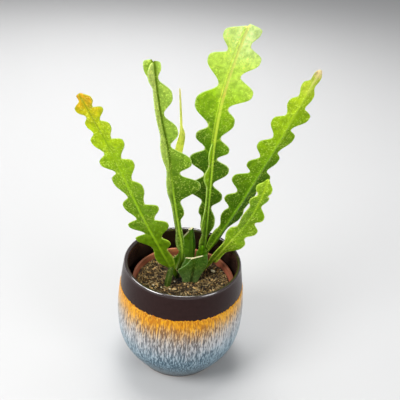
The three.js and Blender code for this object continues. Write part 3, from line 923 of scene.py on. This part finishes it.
def reactive_glaze():
    """The pot's glaze: it runs from amber at its edge through pale grey to blue, in fine vertical streaks."""
    material, n, shader = new_material("reactive_glaze")
    here = n.place()
    across, _, height = n.add("SeparateXYZ", {"Vector": here}).outputs
    fine = n.mottle(n.place((1, 1, 0.14)), 1050.0)
    long = n.mottle(n.place((1, 1, 0.05)), 520.0)
    broad = n.mottle(n.place((1, 1, 0.2)), 170.0)
    lumps = n.mottle(n.place((1, 1, 0.6)), 36.0)
    run = n.times(n.step(across, 0.0, 0.07), -0.007)
    for layer, reach in ((fine, 0.014), (long, 0.03), (broad, 0.014), (lumps, 0.016)):
        run = n.plus(run, n.swing(layer, reach))
    level = n.math("DIVIDE", n.plus(height, run), GLAZE_LINE * MM)
    pale = n.ramp(level, [
        (0.0, 102, 116, 124), (0.15, 112, 135, 148), (0.3, 122, 148, 162),
        (0.42, 146, 172, 186), (0.52, 180, 196, 206), (0.6, 204, 208, 212),
        (0.7, 214, 210, 206), (0.78, 222, 200, 172), (0.85, 234, 190, 120),
        (0.91, 246, 182, 44), (0.965, 244, 176, 16), (1.0, 236, 170, 30),
    ])
    deep = n.ramp(level, [
        (0.0, 76, 86, 92), (0.15, 64, 86, 98), (0.3, 58, 86, 102),
        (0.42, 72, 98, 114), (0.52, 94, 108, 118), (0.6, 108, 110, 114),
        (0.7, 112, 100, 92), (0.78, 134, 100, 68), (0.85, 172, 112, 42),
        (0.91, 206, 128, 8), (0.965, 200, 118, 2), (1.0, 150, 84, 6),
    ])
    hairs = n.plus(n.times(fine, 0.6), n.times(long, 0.4))
    sides = n.times(n.step(n.math("ABSOLUTE", across), 0.02, 0.06), 0.04)
    # painted light: paler streaks towards +X, evening out the key lamp on the -X side
    painted_light_right = n.times(n.step(across, -0.05, 0.05), n.step(across, 0.066, 0.05))
    paler = n.plus(sides, n.times(painted_light_right, 0.02))
    streaks = n.step(n.plus(hairs, paler), 0.47, 0.58)
    inside = n.step(n.attribute("inside"), 0.4, 0.6)
    clay = n.mix(n.mottle(here, 240.0), linear(38, 21, 19), linear(52, 32, 31))
    clay = n.mix(inside, clay, linear(54, 38, 33))
    glazed = n.step(n.attribute("glazed"), 0.35, 0.65)
    colour = n.mix(glazed, clay, n.mix(streaks, deep, pale))
    under_foot = n.step(height, 0.0012, 0.0004)
    crest = n.step(height, 0.1365, 0.139)
    relief = n.mix(glazed, n.mottle(here, 900.0), fine)
    n.feed(shader, {
        "Base Color": n.mix(under_foot, colour, linear(150, 126, 104)),
        "Roughness": n.math("SUBTRACT", 0.3, n.times(inside, 0.06)),
        "Specular IOR Level": 0.13,
        "Coat Weight": n.math("MAXIMUM", n.times(glazed, 0.1), crest),
        "Coat Roughness": 0.16,
        "Coat IOR": 2.1,
        "Normal": n.bump(relief, 0.3, 0.0005),
    })
    return material


def terracotta_plastic():
    """The nursery pot's matt plastic, dusted with soil, with painted light at the back of its rim
    and painted shade at its front and sides.
    """
    material, n, shader = new_material("terracotta_plastic")
    here = n.place()
    _, depth, height = n.add("SeparateXYZ", {"Vector": here}).outputs
    dust = n.mottle(here, 130.0)
    rim = (POT_FLOOR + NURSERY_HEIGHT) * MM
    # painted light and shade: the rim is brighter at the back, darker at the front and sides
    colour = n.mix(n.step(depth, 0.03, 0.055), linear(150, 88, 62), linear(250, 156, 113))
    colour = n.mix(n.step(dust, 0.5, 0.75), colour, linear(164, 100, 74))
    n.feed(shader, {
        "Base Color": n.mix(n.step(height, rim - 0.001, rim - 0.006), colour, linear(176, 98, 72)),
        "Roughness": n.plus(0.42, n.times(dust, 0.2)),
        "Normal": n.bump(dust, 0.15, 0.0005),
    })
    return material


def earth(name, shades):
    """Soil, bark or coir: a colour drawn for each crumb, and mottled."""
    material, n, shader = new_material(name)
    patches = n.mottle(n.place(), 300.0)
    n.feed(shader, {
        "Base Color": n.ramp(n.plus(n.attribute("tint"), n.swing(patches, 0.5)), shades),
        "Roughness": 0.95,
        "Normal": n.bump(patches, 0.6, 0.0006),
    })
    return material


# -------- the object

def place(obj, node, material):
    """A finished piece: it rides on the part's one body and stands for its node."""
    obj.data.materials.append(material)
    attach(obj, "root")
    if node:
        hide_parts(node)


# A stem's colours. `skin` and `rib` run from its root to its tip, and `own` is for the wing that has its own:
# a paler copy of the skin's where that wing is painted lit, and a darker one where it is painted shaded.
SKINS = {
    "stem_left": dict(
        skin=[(0.052, 34, 46, 10), (0.08, 104, 142, 20), (0.25, 108, 150, 14), (0.5, 108, 150, 8),
              (0.68, 144, 186, 12), (0.84, 178, 208, 10), (0.93, 206, 200, 14), (1.0, 230, 156, 22)],
        rib=[(0.052, 34, 46, 10), (0.08, 92, 132, 24), (0.2, 158, 204, 36), (0.5, 156, 202, 24),
             (0.8, 166, 204, 10), (1.0, 206, 184, 16)],
        rib_width=1.5, edge=(184, 214, 70), speckle=0.8, speckled=(0.25, 0.45),
        groove=(0.6, 0.8, 1.7, 0.4)),
    "stem_mid_left": dict(
        skin=[(0.0, 112, 168, 40), (0.25, 103, 154, 14), (0.42, 89, 133, 12), (0.58, 124, 168, 32),
              (0.75, 172, 214, 72), (1.0, 184, 218, 88)],
        # the front wing's own colours are paler than the skin's: painted light on that wing
        own=[(0.0, 127, 167, 56), (0.25, 121, 152, 48), (0.42, 136, 174, 52), (0.58, 187, 218, 92),
             (0.8, 196, 218, 104), (1.0, 208, 230, 118)],
        # the rib darkens above 0.42: painted shade of its groove, as with the groove line
        rib=[(0.0, 140, 196, 50), (0.2, 216, 255, 84), (0.42, 194, 240, 60), (0.6, 100, 134, 6),
             (0.8, 96, 130, 6), (1.0, 122, 154, 24)],
        rib_width=2.2, edge=(206, 236, 130), speckle=1.0, groove=(0.4, 0.6, 1.0, 0.8)),
    "shoot_back": dict(
        skin=[(0.0, 150, 180, 60), (0.5, 240, 255, 76), (0.72, 250, 255, 96), (0.92, 250, 255, 130),
              (1.0, 246, 222, 160)],
        rib=[(0.0, 200, 220, 90), (0.6, 250, 255, 88), (0.92, 252, 255, 128), (1.0, 250, 236, 160)],
        rib_width=0.8, edge=(248, 254, 160), speckle=0.1),
    "stem_centre": dict(
        # the root stops of skin, own and rib are pale: painted light where the root sits in shade
        skin=[(0.0, 176, 220, 80), (0.2, 104, 144, 32), (0.3, 80, 119, 9), (0.5, 82, 126, 6),
              (0.62, 110, 156, 8), (0.72, 162, 208, 28), (0.86, 208, 244, 96), (1.0, 230, 255, 172)],
        # the keel's own colours are paler than the skin's: painted light on its left face
        own=[(0.0, 200, 240, 90), (0.25, 126, 174, 26), (0.6, 158, 206, 16)],
        rib=[(0.0, 214, 255, 110), (0.2, 208, 255, 92), (0.4, 206, 255, 66), (0.6, 230, 255, 76),
             (0.72, 232, 255, 84), (0.765, 242, 234, 94), (0.81, 240, 255, 112), (1.0, 246, 255, 140)],
        rib_width=2.4, edge=(206, 236, 120), speckle=0.7),
    "stem_right": dict(
        skin=[(0.0, 120, 160, 44), (0.2, 92, 132, 14), (0.42, 86, 130, 6), (0.6, 118, 162, 6),
              (0.78, 164, 204, 18), (0.9, 188, 220, 36), (0.965, 206, 222, 76), (1.0, 250, 214, 170)],
        # the wing turned away from the key lamp has darker colours of its own: painted shade
        own=[(0.0, 220, 255, 110), (0.16, 104, 146, 30), (0.25, 80, 120, 4), (0.42, 62, 102, 2),
             (0.6, 88, 132, 2), (0.78, 138, 182, 8), (0.9, 168, 204, 26), (0.965, 200, 216, 76),
             (1.0, 250, 214, 170)],
        rib=[(0.0, 176, 222, 70), (0.2, 152, 202, 40), (0.45, 148, 200, 30), (0.6, 140, 192, 20),
             (0.75, 174, 216, 30), (0.9, 206, 236, 48), (1.0, 244, 226, 160)],
        rib_width=0.8, edge=(180, 214, 70), speckle=0.8),
    "stem_right_low": dict(
        skin=[(0.0, 136, 178, 40), (0.22, 92, 126, 16), (0.45, 144, 190, 26), (0.62, 126, 168, 18),
              (0.8, 118, 164, 14), (1.0, 160, 200, 32)],
        rib=[(0.0, 142, 184, 40), (0.2, 124, 164, 26), (0.38, 220, 255, 76), (0.6, 156, 202, 34),
             (1.0, 190, 224, 40)],
        rib_width=1.3, edge=(204, 232, 90), speckle=0.95),
    "cutting_front": dict(
        # the stop at 0.7 is darker, in part painted shadow that falls across the cutting there
        skin=[(0.0, 108, 152, 78), (0.4, 114, 158, 82), (0.7, 84, 124, 42), (1.0, 78, 124, 34)],
        rib=[(0.0, 36, 54, 10), (0.6, 40, 66, 8), (1.0, 80, 120, 24)],
        rib_width=1.9, edge=(126, 158, 96), speckle=0.3),
    "cutting_back": dict(
        skin=[(0.0, 160, 212, 70), (0.5, 146, 200, 56), (0.8, 102, 150, 18), (1.0, 90, 136, 8)],
        # the wing at -50, turned away from the key lamp, is darker higher up: painted shade
        own=[(0.0, 164, 186, 84), (0.4, 128, 164, 50), (0.7, 60, 106, 30), (1.0, 52, 98, 28)],
        rib=[(0.0, 126, 160, 60), (0.6, 98, 144, 34), (1.0, 84, 130, 28)],
        rib_width=0.7, edge=(190, 210, 150), speckle=0.2),
    "cutting_side": dict(
        skin=[(0.0, 112, 150, 50), (1.0, 98, 156, 10)],
        rib=[(0.0, 98, 138, 24), (1.0, 122, 186, 10)],
        rib_width=0.7, edge=(160, 190, 84), speckle=0.25),
    "stub_left": dict(
        skin=[(0.0, 60, 78, 24), (1.0, 64, 92, 26)],
        rib=[(0.0, 92, 112, 42), (1.0, 84, 104, 40)],
        rib_width=0.7, edge=(110, 130, 60), speckle=0.3),
}

place(ceramic_pot(), "ceramic_pot", reactive_glaze())
place(nursery_pot(), "nursery_pot", terracotta_plastic())
place(soil_lump(), "soil", earth("damp_soil", [
    (0.0, 8, 7, 6), (0.25, 44, 34, 22), (0.8, 92, 76, 48),
]))
place(soil_crumbs(), None, earth("bark_and_peat", [
    (0.0, 12, 10, 8), (0.12, 54, 42, 28), (0.32, 97, 77, 44), (0.6, 149, 115, 62),
    (0.8, 203, 157, 86), (1.0, 246, 208, 140),
]))
place(soil_fibres(), None, earth("coir", [
    (0.0, 124, 98, 60), (0.5, 186, 154, 98), (1.0, 236, 212, 156),
]))
place(perlite(), None, earth("white_grit", [(0.0, 250, 238, 196), (1.0, 255, 252, 216)]))
place(areoles(), None, earth("wool", [(0.0, 196, 200, 130), (1.0, 220, 214, 160)]))
for node, spec in STEMS.items():
    place(stem(node + "_grown", **spec), node, stem_skin(node, **SKINS[node]))

# -------- the studio

CAMERA = Vector((0, -561, 559))
LENS = 54
YAW, PITCH, ROLL = 1.51, -31.04, 4.18

bpy.ops.mesh.primitive_plane_add(size=8)
floor = bpy.context.object
floor.name = "floor"
paper, nodes, shader = new_material("pale_floor")
nodes.feed(shader, {"Base Color": linear(206, 206, 206), "Roughness": 0.9})
floor.data.materials.append(paper)


def area_light(name, place_mm, size, watts, aim_height=150, shades=True, mirrored=True):
    """A round lamp. It can be kept from lighting rough surfaces, or out of reflections."""
    light = bpy.data.lights.new(name, "AREA")
    light.shape = "DISK"
    light.size = size * MM
    light.energy = watts
    lamp = bpy.data.objects.new(name, light)
    lamp.location = Vector(place_mm) * MM
    aim = Vector((0, 0, aim_height)) - Vector(place_mm)
    lamp.rotation_euler = aim.to_track_quat("-Z", "Y").to_euler()
    lamp.visible_diffuse = shades
    lamp.visible_glossy = mirrored
    bpy.context.scene.collection.objects.link(lamp)


area_light("key", (-1100, -700, 1300), 900, 22.5)
area_light("fill", (1200, -900, 900), 750, 8)
area_light("top", (0, 300, 1700), 520, 9, aim_height=100)
area_light("back", (-250, 1250, 1180), 1100, 15, mirrored=False)
area_light("glint", (-1420, 80, 1140), 700, 12, shades=False)

world = bpy.data.worlds.new("studio")
bpy.context.scene.world = world
world.use_nodes = True
sky = {"Color": (0.97, 0.98, 1.0, 1), "Strength": 0.3}
Nodes(world.node_tree).feed(world.node_tree.nodes["Background"], sky)

camera_data = bpy.data.cameras.new("camera")
camera_data.lens = LENS
camera_data.sensor_width = 36
camera = bpy.data.objects.new("camera", camera_data)
look = Matrix.Rotation(-math.radians(YAW), 4, "Z") @ Matrix.Rotation(math.radians(90 + PITCH), 4, "X")
camera.matrix_world = Matrix.Translation(CAMERA * MM) @ look @ Matrix.Rotation(math.radians(ROLL), 4, "Z")
bpy.context.scene.collection.objects.link(camera)
bpy.context.scene.camera = camera
bpy.context.scene.view_settings.view_transform = "Standard"
